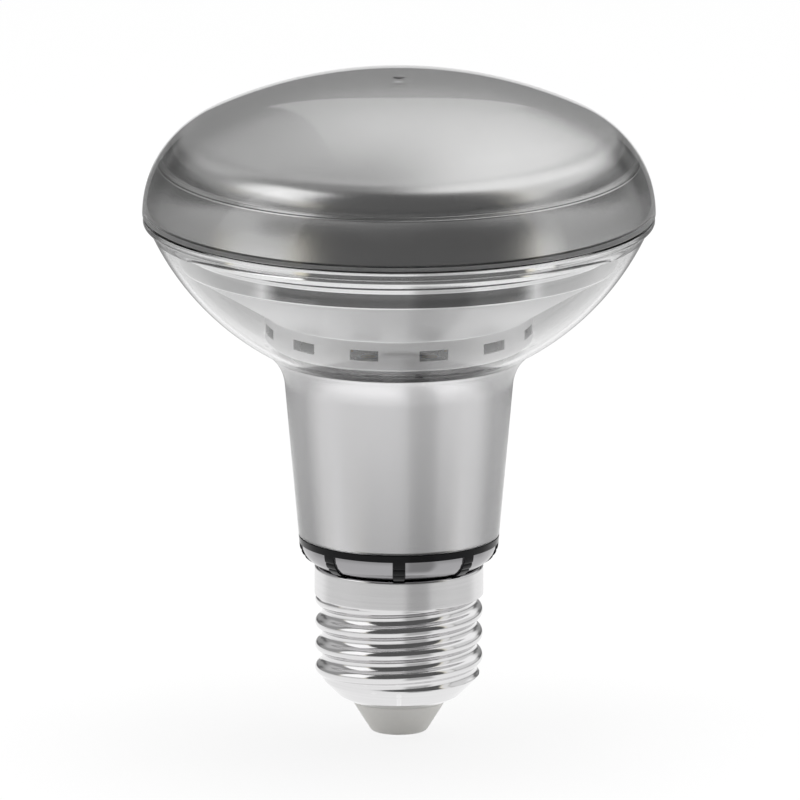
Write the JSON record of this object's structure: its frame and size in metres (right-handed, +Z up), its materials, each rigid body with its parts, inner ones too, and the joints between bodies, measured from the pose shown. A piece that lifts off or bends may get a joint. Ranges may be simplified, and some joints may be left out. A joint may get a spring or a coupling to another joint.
{
  "type": "reflector lamp",
  "caption": "Reflector bulb with a domed satin front lens, a clear glass bowl with a satin neck, a polished inner reflector, a black tabbed ring and a screw cap.",
  "frame": {"origin": "middle of the flat end of the centre contact, the lowest point of the lamp", "axes": "+Z up the lamp's axis from the screw cap to the front lens; -Y towards the viewer of the picture; +X to the viewer's right"},
  "size_m": [0.08, 0.08, 0.105],
  "materials": {
    "satin_lens_glass": "clear polished outside, satin inside",
    "clear_glass": "clear polished, with a satin coat inside the neck",
    "polished_aluminium": "mirror polished",
    "satin_aluminium": "satin anodised",
    "nickel_brass": "nickel plated",
    "grey_insulator": "moulded satin",
    "black_gloss_plastic": "gloss",
    "black_rubber": "matte",
    "dark_board": "dark solder mask on an aluminium core",
    "led_phosphor": "phosphor resin",
    "steel": "zinc plated",
    "white_plastic": "moulded satin",
    "green_laminate": "solder mask",
    "sleeved_can": "shrink sleeve on an aluminium can",
    "yellow_epoxy": "epoxy dip",
    "ferrite": "sintered",
    "copper_wire": "enamelled",
    "black_epoxy": "moulded",
    "beige_ceramic": "lacquered",
    "tinned_copper": "tinned"
  },
  "bodies": {
    "root": {"front_lens": "satin_lens_glass", "glass_body": "clear_glass", "reflector": "polished_aluminium", "rim_seal": "black_rubber", "heat_sink": "satin_aluminium", "led_board": "dark_board", "led_packages": "led_phosphor", "board_screws": "steel", "cap_adaptor": "black_gloss_plastic", "screw_shell": "nickel_brass", "cap_insulator": "grey_insulator", "centre_contact": "nickel_brass", "driver_sleeve": "white_plastic", "driver_board": "green_laminate", "input_capacitor": "sleeved_can", "film_capacitor": "yellow_epoxy", "inductor_core": "ferrite", "inductor_winding": "copper_wire", "bridge_rectifier": "black_epoxy", "driver_chip": "black_epoxy", "fuse_resistor": "beige_ceramic", "live_lead": "tinned_copper", "neutral_lead": "tinned_copper", "led_lead_positive": "tinned_copper", "led_lead_negative": "tinned_copper"}
  },
  "joints": []
}
